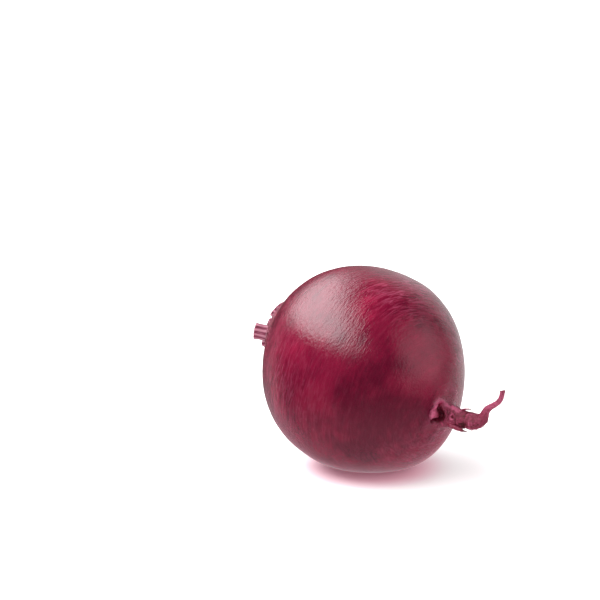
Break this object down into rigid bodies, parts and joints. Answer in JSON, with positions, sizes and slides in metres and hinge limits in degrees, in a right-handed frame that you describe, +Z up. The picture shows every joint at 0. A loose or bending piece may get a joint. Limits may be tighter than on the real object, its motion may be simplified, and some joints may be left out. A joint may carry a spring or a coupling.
{
  "type": "beetroot",
  "caption": "Round red beetroot lying on its side, with a bent taproot and leaf stalks cut short at the crown.",
  "frame": {"origin": "middle of the small flat spot that the beetroot lies on", "axes": "+Z up; +X along the table towards the taproot's tip; -X towards the crown with the cut leaf stalks"},
  "size_m": [0.116, 0.0832, 0.0826],
  "materials": {
    "skin": "satin",
    "stalk": "satin"
  },
  "bodies": {
    "root": {"beetroot": "skin", "leaf_stalk_1": "stalk", "leaf_stalk_2": "stalk", "leaf_stalk_3": "stalk", "leaf_stalk_4": "stalk", "leaf_stalk_5": "stalk", "leaf_stalk_6": "stalk", "leaf_stalk_7": "stalk", "leaf_stalk_8": "stalk"}
  },
  "joints": []
}
